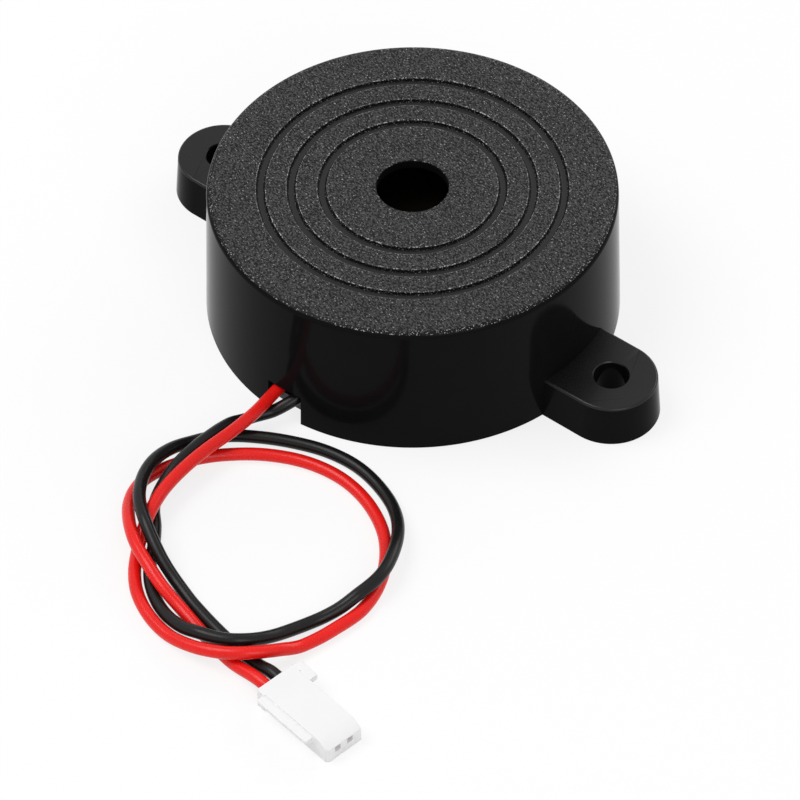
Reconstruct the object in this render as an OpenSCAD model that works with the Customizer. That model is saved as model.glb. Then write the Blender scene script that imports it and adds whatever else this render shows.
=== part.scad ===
// Piezo buzzer: a round moulded housing with two fixing ears, a piezo disc and its
// driver board inside, and two leads that end in a small two-way plug.
// The origin is the middle of the housing's base. The ears lie along X, the leads
// leave towards -Y and the sound hole faces +Z. All sizes are in millimetres.

/* [Housing] */
// Diameter of the housing at its base
body_d = 42; // [41:0.5:48]
// Height of the housing from base to front face
body_h = 15.6; // [15.2:0.1:18]
// How much smaller the radius is at the front than at the base
wall_draft = 0.5; // [0.2:0.1:0.8]
// Thickness of the side wall above the back cover
wall_t = 1.9; // [1.6:0.1:2.2]
// Thickness of the front wall
front_t = 1.5; // [1.2:0.1:1.8]
// Radius of the rounded front edge
rim_r = 0.7; // [0.4:0.1:1]

/* [Front face] */
// Diameter of the sound hole
hole_d = 7.2; // [6:0.2:9]
// Height of the straight part of the sound hole
hole_land = 1; // [0.6:0.1:1.1]
// Radius of the middle of the innermost ring groove
groove_first_r = 9; // [8:0.1:10]
// Step from one ring groove to the next
groove_pitch = 3.05; // [2.5:0.05:3.3]
// Width of a ring groove
groove_w = 0.86; // [0.5:0.02:1.2]
// Depth of a ring groove
groove_depth = 0.4; // [0.2:0.05:0.6]
// Number of ring grooves
groove_n = 3; // [1:1:3]

/* [Ears] */
// Distance from the side wall to the middle of an ear's screw hole
ear_reach = 4; // [3.5:0.1:5]
// Radius of an ear's round end at its base
ear_r = 5; // [4:0.1:5.5]
// How much smaller that radius is at the ear's top
ear_draft = 0.35; // [0.1:0.05:0.5]
// Height of an ear
ear_h = 4.7; // [4:0.1:6]
// Chamfer along the top edge of an ear
ear_edge = 0.25; // [0.1:0.05:0.4]
// Diameter of the screw hole
screw_hole_d = 3.5; // [3:0.1:4]

/* [Lead notch] */
// Width of the notch that the leads leave through
notch_w = 4.1; // [3.9:0.1:5]
// Height of the notch above the base
notch_h = 3.75; // [3.6:0.05:4]
// Sideways place of the notch's middle
notch_x = 0.3; // [0.2:0.05:0.5]

/* [Back cover] */
// Thickness of the back cover
cover_t = 1.2; // [1:0.1:1.4]
// Width of the ledge in the wall that the cover stops against
cover_ledge = 0.4; // [0.3:0.05:0.6]
// Diameter of the cover's posts under the board
post_d = 3; // [2:0.2:4]
// Distance from the inner wall to the middle of a post
post_inset = 3.1; // [2.5:0.1:4]

/* [Piezo element] */
// Distance from the inner wall to the edge of the brass disc
disc_margin = 3.6; // [3.4:0.1:4]
// Thickness of the brass disc
disc_t = 0.3; // [0.2:0.05:0.4]
// Height of the space between circuit board and disc
disc_gap = 4.8; // [4.6:0.1:5.2]
// Width of the bare brass round the ceramic disc
brass_border = 4.5; // [4:0.1:5]
// Thickness of the ceramic disc
ceramic_t = 0.25; // [0.15:0.05:0.35]
// Thickness of the silver electrodes
silver_t = 0.05; // [0.05:0.01:0.08]
// Border of bare ceramic round the silver
silver_border = 0.6; // [0.4:0.1:1]
// Width of the feedback tongue
tongue_w = 3.4; // [2.6:0.2:4]
// Length of the feedback tongue
tongue_len = 7.5; // [6:0.5:9]
// Gap between the tongue and the main electrode
tongue_gap = 0.5; // [0.3:0.1:0.8]

/* [Disc seat] */
// Width of the ring face that the disc is glued to
seat_w = 1.1; // [0.8:0.1:1.5]
// Depth of the recess that centres the disc
seat_depth = 0.6; // [0.5:0.05:0.8]
// Wall of the seat ring outside the recess
seat_wall = 0.9; // [0.7:0.1:1.2]
// Number of ribs between seat ring and side wall
rib_n = 8; // [4:4:12]
// Thickness of a rib
rib_t = 1; // [0.8:0.1:1.4]
// Width of the rib stretch that stands on the board
board_rib_w = 1.7; // [1.2:0.1:2]
// Width of the adhesive bead on the disc's edge
bead_w = 0.9; // [0.6:0.1:1.2]
// Height of the adhesive bead
bead_h = 0.4; // [0.3:0.05:0.5]

/* [Circuit board] */
// Thickness of the circuit board
board_t = 1.2; // [1:0.1:1.4]
// Height of the space between back cover and board
board_gap = 2.4; // [2.35:0.05:2.6]
// Diameter of the holes for component legs
leg_hole_d = 0.8; // [0.7:0.05:1]
// Diameter of a component's legs
leg_d = 0.5; // [0.4:0.05:0.6]
// Radius of a bend in a leg
leg_bend = 0.7; // [0.5:0.1:0.9]
// Widest radius of a leg's solder joint under the board
joint_r = 0.6; // [0.5:0.02:0.62]
// Widest radius of a wire's solder joint under the board
wire_joint_r = 0.9; // [0.7:0.05:1.1]
// Height of a solder joint under the board
joint_h = 0.8; // [0.5:0.1:1]

/* [Components] */
// Diameter of a resistor body
res_d = 1.9; // [1.6:0.1:2.2]
// Length of a resistor body
res_len = 3.6; // [3.2:0.1:4]
// Distance between a resistor's holes
res_pitch = 7.6; // [7:0.2:9]
// Diameter of the diode body
diode_d = 1.8; // [1.5:0.1:2]
// Length of the diode body
diode_len = 3.8; // [3.2:0.1:4]
// Diameter of the transistor's round side
tran_d = 4.6; // [4.2:0.1:4.8]
// Depth of the transistor from flat to round side
tran_depth = 3.4; // [3:0.1:3.5]
// Length of the transistor body
tran_len = 4.6; // [4.2:0.1:5]
// Distance between neighbouring transistor legs
tran_pitch = 1.27; // [1.25:0.01:1.4]
// Level stretch of a transistor leg before its bend
tran_leg_run = 1; // [0.8:0.1:1.4]
// Height of the transistor's legs above its flat side
tran_leg_h = 1.3; // [1.1:0.1:1.5]
// Diameter of the choke
choke_d = 6; // [5:0.2:6.4]
// Height of the choke
choke_h = 3.4; // [3:0.1:3.5]
// Thickness of a flange of the choke's core
choke_flange = 0.6; // [0.5:0.05:0.8]
// Diameter of the choke's hub
choke_hub_d = 2.6; // [2:0.1:3]
// How far the winding stays inside the flange
winding_inset = 0.3; // [0.2:0.05:0.5]
// Distance between the choke's pins
choke_pin_pitch = 4; // [3:0.2:4]

/* [Wiring] */
// Diameter of a hook-up wire to the disc
jumper_d = 0.8; // [0.6:0.05:0.9]
// Bend radius of a hook-up wire
jumper_bend = 1; // [0.8:0.05:1.1]
// Radius of a solder pad on the disc
blob_r = 0.9; // [0.7:0.1:1.2]
// Height of a solder pad on the disc
blob_h = 0.4; // [0.3:0.05:0.5]
// Diameter of a lead over its insulation
lead_d = 1.3; // [1.1:0.05:1.3]
// Diameter of a lead's bare strands
core_d = 0.5; // [0.4:0.05:0.6]
// Length of a lead's bare strands
strand_len = 0.9; // [0.8:0.1:1.4]
// How far a lead's insulation reaches inside the housing's wall
lead_inside = 4.7; // [4.4:0.1:5]
// Sideways place of the red lead inside the notch
red_x = -0.9; // [-0.9:0.05:-0.8]
// Sideways place of the black lead inside the notch
black_x = 1.6; // [1.5:0.05:1.6]

/* [Plug] */
// Length of the plug's body
plug_len = 8.5; // [7.6:0.1:9.5]
// Width of the plug's body
plug_w = 4.3; // [4.1:0.1:5]
// Height of the plug's body
plug_h = 2.4; // [2.3:0.1:3]
// Length of the collar at the plug's rear
collar_len = 1; // [0.6:0.1:1.4]
// How far the collar stands out on each side
collar_out = 0.15; // [0.1:0.05:0.3]
// Length of the nose in front of the body
nose_len = 1.2; // [0.8:0.1:1.6]
// Height of the nose
nose_h = 1.7; // [1.65:0.05:2.2]
// How far the guide rail stands out
rail_out = 0.95; // [0.6:0.05:1.1]
// Length of the guide rail
rail_len = 6.8; // [5:0.1:7]
// Thickness of rail and latch tab
rail_t = 0.7; // [0.5:0.05:0.9]
// How far the rail lies below the plug's top
rail_drop = 0.15; // [0.1:0.05:0.3]
// Length of the latch tab on the other side
tab_len = 2.4; // [1.8:0.1:3]
// How far the latch tab stands out
tab_out = 1.05; // [0.6:0.05:1.2]
// Distance between the two contacts
pin_pitch = 1.5; // [1.45:0.05:1.7]
// Side of a contact cavity
cavity_w = 1.36; // [1.34:0.01:1.4]
// Side of a contact's box
contact_w = 1.1; // [0.9:0.05:1.15]
// Length of a contact's box
contact_len = 4; // [3:0.1:4.5]
// Wall of a contact's box
contact_t = 0.2; // [0.15:0.05:0.25]
// Diameter of a contact's crimp
crimp_d = 0.9; // [0.7:0.05:1]
// How deep a lead's insulation reaches into the plug
lead_in = 1.6; // [1.2:0.1:2]
// Length of a lead that runs straight before it enters the plug
lead_straight = 1.2; // [1:0.1:1.6]
// Side of the window that a mating pin enters through
window_w = 0.7; // [0.6:0.05:0.8]

/* [Hidden] */
$fn = 96;
cut = 1;
fit = 0.15;

// Heights, from the base up
body_r = body_d / 2;
rim_out = body_r - wall_draft;
inner_r = body_r - wall_t;
cover_seat_r = inner_r + cover_ledge;
board_z = cover_t + board_gap;
board_top = board_z + board_t;
ceiling_z = body_h - front_t;
disc_low = board_top + disc_gap;
disc_top = disc_low + disc_t;
ceramic_low = disc_low - ceramic_t;
silver_low = ceramic_low - silver_t;

// Radii round the disc
disc_r = inner_r - disc_margin;
recess_r = disc_r + fit;
ring_out = recess_r + seat_wall;
ring_in = disc_r - seat_w;
board_r = inner_r - 3 * fit;
ceramic_r = disc_r - brass_border;
silver_r = ceramic_r - silver_border;

// Places of the components on the board: middle and direction
RESISTORS = [[-6, -6.5, 0], [4.5, 9, 90], [-1.5, 9, 90]];
DIODE = [7, -7.5, 90];
TRANSISTOR = [-10.5, 3.5, 90];
CHOKE = [10, 2.5, 0];
// Hook-up wires: place under the disc, place in the board
DRIVE = [[4, -2], [1, -2]];
FEEDBACK = [[0, 6.5], [-5, 6.5]];
ground_r = (ceramic_r + disc_r - bead_w) / 2;
ground_angle = -12;
GROUND_PAD = ground_r * [cos(ground_angle), sin(ground_angle)];
GROUND = [GROUND_PAD, GROUND_PAD + [1, -3.6]];
// Where each lead is soldered under the board
pad_y = lead_inside + strand_len - body_r;
RED_PAD = [red_x, pad_y];
BLACK_PAD = [black_x, pad_y];

// The plug lies on the floor: middle of its rear edge, and its direction
plug_away = 27.85;
PLUG_AT = [22.3, -body_r - plug_away];
plug_angle = -9;
port_z = plug_h / 2;
function plug_point(side, along) = [
    PLUG_AT[0] + along * cos(plug_angle) - side * pin_pitch / 2 * sin(plug_angle),
    PLUG_AT[1] + along * sin(plug_angle) + side * pin_pitch / 2 * cos(plug_angle),
    port_z
];

// Lead points in front of the housing: y is counted from the side wall, z from the floor
function laid(points) = [for (p = points) [p[0], p[1] - body_r, p[2]]];
RED_LAY = [
    [red_x, lead_inside, 2.9], [-0.8, 2, 2.9], [-0.7, -0.6, 2.8], [-0.6, -3.4, 2.7], [-0.9, -6.6, 2.5],
    [-1.3, -9.8, 2.5], [-1.5, -13, 2.4], [-1.4, -16, 2.2], [-0.8, -18.6, 2.1], [0, -20.9, 1.6],
    [1, -23, 0.9], [2.4, -25.1, 0.65], [4.4, -27, 0.65], [7, -28.4, 0.65], [9.9, -29.2, 0.8],
    [13, -29.3, 1.4], [15.8, -28.7, 2], [18.2, -27.2, 2.2], [20, -24.8, 1.7], [21.1, -22.2, 0.8],
    [22, -19, 0.65], [22.6, -15, 0.65], [21.5, -10.8, 0.65], [18.8, -7, 0.65], [15, -4.5, 0.65],
    [10.8, -3.4, 0.65], [6.6, -3.8, 0.65], [2.7, -5.5, 0.65], [-0.5, -8, 0.65], [-2.7, -10.6, 0.65],
    [-4.2, -13.5, 0.65], [-4.6, -16.2, 0.7], [-3.6, -18.8, 1.2], [-1.7, -21.1, 2], [0.7, -23.1, 2.5],
    [3.4, -24.5, 2.4], [6.2, -25.5, 1.8], [9.2, -26.1, 1], [12.8, -27, 0.65], [16.6, -27.9, 0.65]
];
BLACK_LAY = [
    [black_x, lead_inside, 2.7], [1.5, 2, 2.6], [0.8, 0, 2.1], [-0.3, -1.6, 1.45], [-1.4, -3.4, 1.4],
    [-2.1, -5.6, 1.95], [-2.5, -8.6, 2.1], [-2.7, -12, 1.9], [-2.5, -14.8, 1.3], [-1.7, -17.4, 0.7],
    [0.2, -19.5, 0.65], [1.8, -21.6, 0.65], [3.3, -23.9, 0.65], [5.1, -25.7, 0.65], [7.5, -27.1, 0.7],
    [10.5, -27.9, 1.2], [13.4, -27.8, 2], [16.1, -26.7, 2.1], [17.8, -24.6, 1.6], [18.8, -22, 0.9],
    [19.9, -19.2, 0.65], [21, -16.9, 1.1], [21.8, -14.4, 1.9], [22, -11.6, 2.05], [21.1, -8.6, 1.9],
    [19.4, -5.7, 1.4], [17, -3.4, 0.8], [13.9, -1.9, 0.65], [10.5, -1.2, 0.65], [7, -1.5, 0.65],
    [3.7, -2.6, 0.65], [0.7, -4.1, 0.65], [-2, -6, 0.65], [-3.9, -8.4, 0.75], [-4.7, -11.2, 1.5],
    [-4.7, -13.9, 2.05], [-3.9, -16.4, 2.4], [-2.2, -18.9, 2.9], [-0.1, -20.7, 3.1], [2.2, -22.1, 2.6],
    [4.4, -23.1, 1.8], [6.9, -23.9, 1], [9.8, -24.8, 0.65], [13.2, -25.7, 0.65], [16.7, -26.4, 0.65],
    [19.2, -26.7, 0.75]
];
RED_ROUTE = concat(laid(RED_LAY), [plug_point(-1, -lead_straight), plug_point(-1, lead_in)]);
BLACK_ROUTE = concat(laid(BLACK_LAY), [plug_point(1, -lead_straight), plug_point(1, lead_in)]);

module housing_profile() {
    difference() {
        union() {
            polygon([[0, 0], [body_r, 0], [rim_out, body_h - rim_r], [0, body_h - rim_r]]);
            square([rim_out - rim_r, body_h]);
            translate([rim_out - rim_r, body_h - rim_r]) circle(rim_r);
        }
        translate([0, -cut]) square([cover_seat_r, cover_t + cut]);
        square([inner_r, ceiling_z]);
        for (i = [0 : groove_n - 1])
            translate([groove_first_r + i * groove_pitch - groove_w / 2, body_h - groove_depth])
                square([groove_w, groove_depth + cut]);
    }
}

module ear(side) {
    top_r = ear_r - ear_draft;
    edge_z = ear_h - ear_edge;
    hole_x = body_r + ear_reach;
    root_x = sqrt(rim_out * rim_out - ear_r * ear_r);
    mirror([side < 0 ? 1 : 0, 0, 0]) {
        translate([hole_x, 0, 0]) cylinder(h = edge_z, r1 = ear_r, r2 = top_r);
        translate([hole_x, 0, edge_z]) cylinder(h = ear_edge, r1 = top_r, r2 = top_r - ear_edge);
        translate([root_x, 0, 0]) rotate([90, 0, 90]) linear_extrude(hole_x - root_x)
            polygon([[-ear_r, 0], [ear_r, 0], [top_r, edge_z], [top_r - ear_edge, ear_h],
                     [ear_edge - top_r, ear_h], [-top_r, edge_z]]);
    }
}

module seat_ring() {
    low_z = disc_top - seat_depth;
    rotate_extrude() difference() {
        translate([ring_in, low_z]) square([ring_out - ring_in, ceiling_z - low_z]);
        translate([0, low_z - cut]) square([recess_r, seat_depth + cut]);
    }
    for (i = [0 : rib_n - 1])
        rotate(45 + i * 360 / rib_n) translate([ring_out - fit, -rib_t / 2, low_z])
            cube([inner_r - ring_out + 2 * fit, rib_t, ceiling_z - low_z]);
    for (i = [0 : 3])
        rotate(45 + i * 90) translate([inner_r - board_rib_w, -rib_t / 2, board_top])
            cube([board_rib_w + fit, rib_t, ceiling_z - board_top]);
}

module housing() {
    color("#1c1c1e") difference() {
        union() {
            rotate_extrude() housing_profile();
            seat_ring();
            for (side = [-1, 1]) difference() {
                ear(side);
                translate([0, 0, -cut]) cylinder(h = body_h, r = cover_seat_r);
            }
        }
        translate([0, 0, ceiling_z - cut]) cylinder(h = front_t + 2 * cut, d = hole_d);
        translate([0, 0, ceiling_z]) cylinder(
            h = front_t - hole_land, r1 = hole_d / 2 + front_t - hole_land, r2 = hole_d / 2);
        for (side = [-1, 1])
            translate([side * (body_r + ear_reach), 0, -cut])
                cylinder(h = ear_h + 2 * cut, d = screw_hole_d);
        translate([notch_x - notch_w / 2, -body_r - cut, -cut])
            cube([notch_w, body_r + cut - ring_out, notch_h + cut]);
    }
}

module back_cover() {
    color("#202022") {
        cylinder(h = cover_t, r = cover_seat_r - fit);
        for (i = [0 : 3])
            rotate(45 + i * 90) translate([inner_r - post_inset, 0, 0])
                cylinder(h = board_z, d = post_d);
    }
}

module diaphragm() {
    color("#b08d57") translate([0, 0, disc_low]) cylinder(h = disc_t, r = disc_r);
}

module ceramic_disc() {
    color("#c9c4b4") translate([0, 0, ceramic_low]) cylinder(h = ceramic_t, r = ceramic_r);
}

module tongue(grow) {
    root_y = silver_r - tongue_len + tongue_w / 2;
    translate([0, root_y]) circle(tongue_w / 2 + grow);
    translate([-tongue_w / 2 - grow, root_y]) square([tongue_w + 2 * grow, tongue_len]);
}

module electrodes() {
    color("#d8d8da") translate([0, 0, silver_low]) linear_extrude(silver_t) {
        difference() {
            circle(silver_r);
            tongue(tongue_gap);
        }
        intersection() {
            circle(silver_r);
            tongue(0);
        }
    }
}

module adhesive_ring() {
    color("#d9d9d2") rotate_extrude()
        polygon([[disc_r - bead_w, disc_low], [disc_r, disc_low], [disc_r, disc_top], [recess_r, disc_top],
                 [recess_r, disc_low - bead_h / 2], [recess_r - bead_w / 2, disc_low - bead_h]]);
}

// A component's holes in its own frame, and the same holes on the board
function turned(p, place) = [
    place[0] + p[0] * cos(place[2]) - p[1] * sin(place[2]),
    place[1] + p[0] * sin(place[2]) + p[1] * cos(place[2])
];
tran_reach = tran_len / 2 + tran_leg_run + leg_bend;
AXIAL_HOLES = [[-res_pitch / 2, 0], [res_pitch / 2, 0]];
LEG_HOLES = concat(
    [for (place = RESISTORS, p = AXIAL_HOLES) turned(p, place)],
    [for (p = AXIAL_HOLES) turned(p, DIODE)],
    [for (i = [-1 : 1]) turned([-tran_reach, i * tran_pitch], TRANSISTOR)],
    [for (side = [-1, 1]) turned([side * choke_pin_pitch / 2, 0], CHOKE)]
);
JUMPER_HOLES = [DRIVE[1], FEEDBACK[1], GROUND[1]];
LEAD_HOLES = [RED_PAD, BLACK_PAD];

module circuit_board() {
    color("#3f6b3a") difference() {
        translate([0, 0, board_z]) cylinder(h = board_t, r = board_r);
        for (p = concat(LEG_HOLES, LEAD_HOLES))
            translate([p[0], p[1], board_z - cut]) cylinder(h = board_t + 2 * cut, d = leg_hole_d);
        for (p = JUMPER_HOLES)
            translate([p[0], p[1], board_z - cut])
                cylinder(h = board_t + 2 * cut, d = jumper_d + leg_hole_d - leg_d);
    }
}

// A round leg that leaves a body along +X at height z, bends down and goes through the board
module bent_leg(start, reach, z, d, bend, foot) {
    translate([start, 0, z]) rotate([0, 90, 0]) cylinder(h = reach - start - bend, d = d);
    translate([reach - bend, 0, z - bend]) rotate([90, 0, 0])
        rotate_extrude(angle = 90) translate([bend, 0]) circle(d = d);
    translate([reach, 0, foot]) cylinder(h = z - bend - foot, d = d);
}

module axial_body(place, d, len) {
    translate([place[0], place[1], board_top + d / 2]) rotate(place[2])
        translate([-len / 2, 0, 0]) rotate([0, 90, 0]) cylinder(h = len, d = d);
}

module axial_leads(place, d, len) {
    translate([place[0], place[1], 0]) rotate(place[2])
        for (turn = [0, 180]) rotate(turn)
            bent_leg(len / 2, res_pitch / 2, board_top + d / 2, leg_d, leg_bend, board_z);
}

module resistors() {
    color("#c8b48a") for (place = RESISTORS) axial_body(place, res_d, res_len);
}

module resistor_leads() {
    color("silver") for (place = RESISTORS) axial_leads(place, res_d, res_len);
}

module diode() {
    color("#a04a1c") axial_body(DIODE, diode_d, diode_len);
}

module diode_leads() {
    color("silver") axial_leads(DIODE, diode_d, diode_len);
}

// The transistor lies on its flat side, so its legs come out level and bend down
tran_axis_z = board_top + tran_depth - tran_d / 2;
tran_leg_z = board_top + tran_leg_h;

module transistor() {
    color("#1b1b1b") translate([TRANSISTOR[0], TRANSISTOR[1], 0]) rotate(TRANSISTOR[2])
        intersection() {
            translate([-tran_len / 2, 0, tran_axis_z]) rotate([0, 90, 0])
                cylinder(h = tran_len, d = tran_d);
            translate([-tran_len, -tran_d, board_top]) cube([2 * tran_len, 2 * tran_d, tran_d]);
        }
}

module transistor_legs() {
    color("silver") translate([TRANSISTOR[0], TRANSISTOR[1], 0]) rotate(TRANSISTOR[2] + 180)
        for (i = [-1 : 1]) translate([0, i * tran_pitch, 0])
            bent_leg(tran_len / 2, tran_reach, tran_leg_z, leg_d, leg_bend, board_z);
}

module choke_core() {
    color("#3a3a3c") translate([CHOKE[0], CHOKE[1], board_top]) {
        cylinder(h = choke_flange, d = choke_d);
        cylinder(h = choke_h, d = choke_hub_d);
        translate([0, 0, choke_h - choke_flange]) cylinder(h = choke_flange, d = choke_d);
    }
}

module choke_winding() {
    color("#b4602c") translate([CHOKE[0], CHOKE[1], board_top + choke_flange]) difference() {
        cylinder(h = choke_h - 2 * choke_flange, r = choke_d / 2 - winding_inset);
        translate([0, 0, -cut]) cylinder(h = choke_h, d = choke_hub_d);
    }
}

module choke_pins() {
    color("silver") translate([CHOKE[0], CHOKE[1], board_z])
        for (side = [-1, 1]) translate([side * choke_pin_pitch / 2, 0, 0])
            cylinder(h = board_t, d = leg_d);
}

// A hook-up wire from a solder pad on the disc down to the board, with one level run
module jumper(ends, top_z) {
    from = ends[0];
    to = ends[1];
    run = norm(to - from);
    angle = atan2(to[1] - from[1], to[0] - from[0]);
    level_z = (top_z + board_top) / 2;
    translate([from[0], from[1], 0]) rotate(angle) {
        translate([0, 0, level_z + jumper_bend]) cylinder(h = top_z - level_z - jumper_bend, d = jumper_d);
        translate([jumper_bend, 0, level_z + jumper_bend]) rotate([90, 0, 0]) rotate(180)
            rotate_extrude(angle = 90) translate([jumper_bend, 0]) circle(d = jumper_d);
        bent_leg(jumper_bend, run, level_z, jumper_d, jumper_bend, board_z);
    }
}

module drive_wire() {
    color("#c4302b") jumper(DRIVE, silver_low - blob_h);
}

module feedback_wire() {
    color("#2f56a8") jumper(FEEDBACK, silver_low - blob_h);
}

module ground_wire() {
    color("#2a2a2a") jumper(GROUND, disc_low - blob_h);
}

module disc_blob(at, z) {
    translate([at[0], at[1], z - blob_h]) cylinder(h = blob_h, r1 = jumper_d / 2 + 0.1, r2 = blob_r);
}

module disc_solder() {
    color("#b9bcc0") {
        disc_blob(DRIVE[0], silver_low);
        disc_blob(FEEDBACK[0], silver_low);
        disc_blob(GROUND[0], disc_low);
    }
}

module joint(at, r) {
    translate([at[0], at[1], board_z - joint_h]) cylinder(h = joint_h, r1 = r / 2, r2 = r);
}

// A lead's joint: a taller cone that holds the bare strands, which end at the insulation
module lead_joint(at, route) {
    strand_z = route[0][2];
    joint_low = strand_z - core_d / 2 - fit;
    translate([at[0], at[1], joint_low]) cylinder(h = board_z - joint_low, r1 = core_d, r2 = wire_joint_r);
    translate([route[0][0], route[0][1], strand_z]) rotate([-90, 0, 0])
        cylinder(h = strand_len, d = core_d);
}

module board_solder() {
    color("#b9bcc0") {
        for (p = LEG_HOLES) joint(p, joint_r);
        for (p = JUMPER_HOLES) joint(p, wire_joint_r);
        lead_joint(RED_PAD, RED_ROUTE);
        lead_joint(BLACK_PAD, BLACK_ROUTE);
    }
}

// A lead: one tube swept along its route, with eight sides
lead_sides = 8;
function unit(v) = v / norm(v);
function heading(route, i) = unit(route[min(i + 1, len(route) - 1)] - route[max(i - 1, 0)]);
function ring(route, i) = let(
    ahead = heading(route, i),
    side = unit(cross(ahead, [0, 0, 1])),
    above = cross(side, ahead)
) [for (k = [0 : lead_sides - 1])
    route[i] + lead_d / 2 * (cos((k + 0.5) * 360 / lead_sides) * side
        + sin((k + 0.5) * 360 / lead_sides) * above)];
function band(i) = [for (k = [0 : lead_sides - 1], half = [0, 1]) let(
    a = i * lead_sides + k,
    b = i * lead_sides + (k + 1) % lead_sides
) half == 0 ? [a, b, b + lead_sides] : [a, b + lead_sides, a + lead_sides]];

module lead(route) {
    last = (len(route) - 1) * lead_sides;
    polyhedron(
        points = [for (i = [0 : len(route) - 1]) each ring(route, i)],
        faces = concat(
            [[for (k = [lead_sides - 1 : -1 : 0]) k]],
            [for (i = [0 : len(route) - 2]) each band(i)],
            [[for (k = [0 : lead_sides - 1]) last + k]]
        )
    );
}

module red_lead() {
    color("#e02424") lead(RED_ROUTE);
}

module black_lead() {
    color("#262424") lead(BLACK_ROUTE);
}

module at_plug() {
    translate([PLUG_AT[0], PLUG_AT[1], 0]) rotate(plug_angle) children();
}

module plug_housing() {
    rail_z = plug_h - rail_drop - rail_t;
    color("#f4f3f4") at_plug() difference() {
        union() {
            translate([0, -plug_w / 2, 0]) cube([plug_len, plug_w, plug_h]);
            translate([0, -plug_w / 2 - collar_out, 0])
                cube([collar_len, plug_w + 2 * collar_out, plug_h]);
            translate([plug_len, -plug_w / 2, 0]) cube([nose_len, plug_w, nose_h]);
            translate([collar_len, -plug_w / 2 - rail_out, rail_z])
                cube([rail_len, rail_out, rail_t]);
            translate([0, plug_w / 2, rail_z]) cube([tab_len, tab_out, rail_t]);
        }
        for (side = [-1, 1]) translate([0, side * pin_pitch / 2, port_z]) {
            translate([-cut, -cavity_w / 2, -cavity_w / 2]) cube([plug_len + cut, cavity_w, cavity_w]);
            translate([plug_len - cut, -window_w / 2, -window_w / 2])
                cube([nose_len + 2 * cut, window_w, window_w]);
        }
    }
}

module plug_contacts() {
    box_x = plug_len - contact_len;
    color("#b8b8b4") at_plug() for (side = [-1, 1]) translate([0, side * pin_pitch / 2, port_z]) {
        translate([lead_in, 0, 0]) rotate([0, 90, 0]) cylinder(h = box_x - lead_in, d = crimp_d);
        translate([box_x, -contact_w / 2, -cavity_w / 2]) difference() {
            cube([contact_len, contact_w, contact_w]);
            translate([contact_t, contact_t, contact_t])
                cube([contact_len, contact_w - 2 * contact_t, contact_w - 2 * contact_t]);
        }
    }
}

housing();
back_cover();
diaphragm();
ceramic_disc();
electrodes();
adhesive_ring();
circuit_board();
transistor();
transistor_legs();
choke_core();
choke_winding();
choke_pins();
resistors();
resistor_leads();
diode();
diode_leads();
drive_wire();
feedback_wire();
ground_wire();
disc_solder();
board_solder();
red_lead();
black_lead();
plug_housing();
plug_contacts();
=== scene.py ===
import logging
import math
from dataclasses import dataclass, field
from enum import Enum
from typing import Callable, Iterable, Optional, Sequence, Union

import bmesh
import bpy
from mathutils import Matrix, Vector


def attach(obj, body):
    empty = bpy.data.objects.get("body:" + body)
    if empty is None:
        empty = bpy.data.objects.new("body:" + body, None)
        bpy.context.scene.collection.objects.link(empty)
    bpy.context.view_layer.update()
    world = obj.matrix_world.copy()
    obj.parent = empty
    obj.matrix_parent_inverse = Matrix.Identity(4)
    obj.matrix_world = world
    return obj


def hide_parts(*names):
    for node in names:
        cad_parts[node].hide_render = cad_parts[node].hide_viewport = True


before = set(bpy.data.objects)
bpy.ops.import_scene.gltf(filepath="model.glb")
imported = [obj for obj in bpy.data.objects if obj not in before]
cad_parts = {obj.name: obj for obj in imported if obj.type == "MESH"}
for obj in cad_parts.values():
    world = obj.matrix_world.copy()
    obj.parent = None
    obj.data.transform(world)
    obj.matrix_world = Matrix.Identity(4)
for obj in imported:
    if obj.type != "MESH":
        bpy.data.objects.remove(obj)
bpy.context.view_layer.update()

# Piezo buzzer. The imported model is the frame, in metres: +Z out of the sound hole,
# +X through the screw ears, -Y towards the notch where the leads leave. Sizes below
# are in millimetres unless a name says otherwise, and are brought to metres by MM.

LOG = logging.getLogger("buzzer")
MM = 0.001
Number = Union[int, float]
Colour = tuple[float, float, float]


class Pick(Enum):
    """What edit mode selects."""

    FACES = "FACE"
    EDGES = "EDGE"
    POINTS = "VERT"


class Side(Enum):
    """Which way an ear points along X."""

    RIGHT = 1
    LEFT = -1


class Port(Enum):
    """Which side of the plug a lead enters."""

    RED = -1
    BLACK = 1


class Surface(Enum):
    """The finishes on the housing, in the order of its material slots."""

    GRAINED = 0
    GLOSSY = 1
    EAR = 2
    GROOVE = 3
    INSIDE = 4
    EDGE = 5
    LIP = 6
    GROOVE_WALL = 7


@dataclass(frozen=True)
class Seen:
    """Where a face, edge or point lies, in millimetres, and its normal.

    Attributes:
        low: lowest corner of its own box.
        high: highest corner of its own box.
        normal: the face's or point's normal, and zero for an edge.
    """

    low: Vector
    high: Vector
    normal: Vector

    @property
    def middle(self) -> Vector:
        """Middle of the item's box."""
        return (self.low + self.high) / 2

    @property
    def radius(self) -> float:
        """Distance of its middle from the Z axis."""
        return math.hypot(self.middle.x, self.middle.y)

    def flat_at(self, z: float, slack: float = 0.002) -> bool:
        """Whether the whole item lies at that height."""
        return abs(self.low.z - z) < slack and abs(self.high.z - z) < slack


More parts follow.
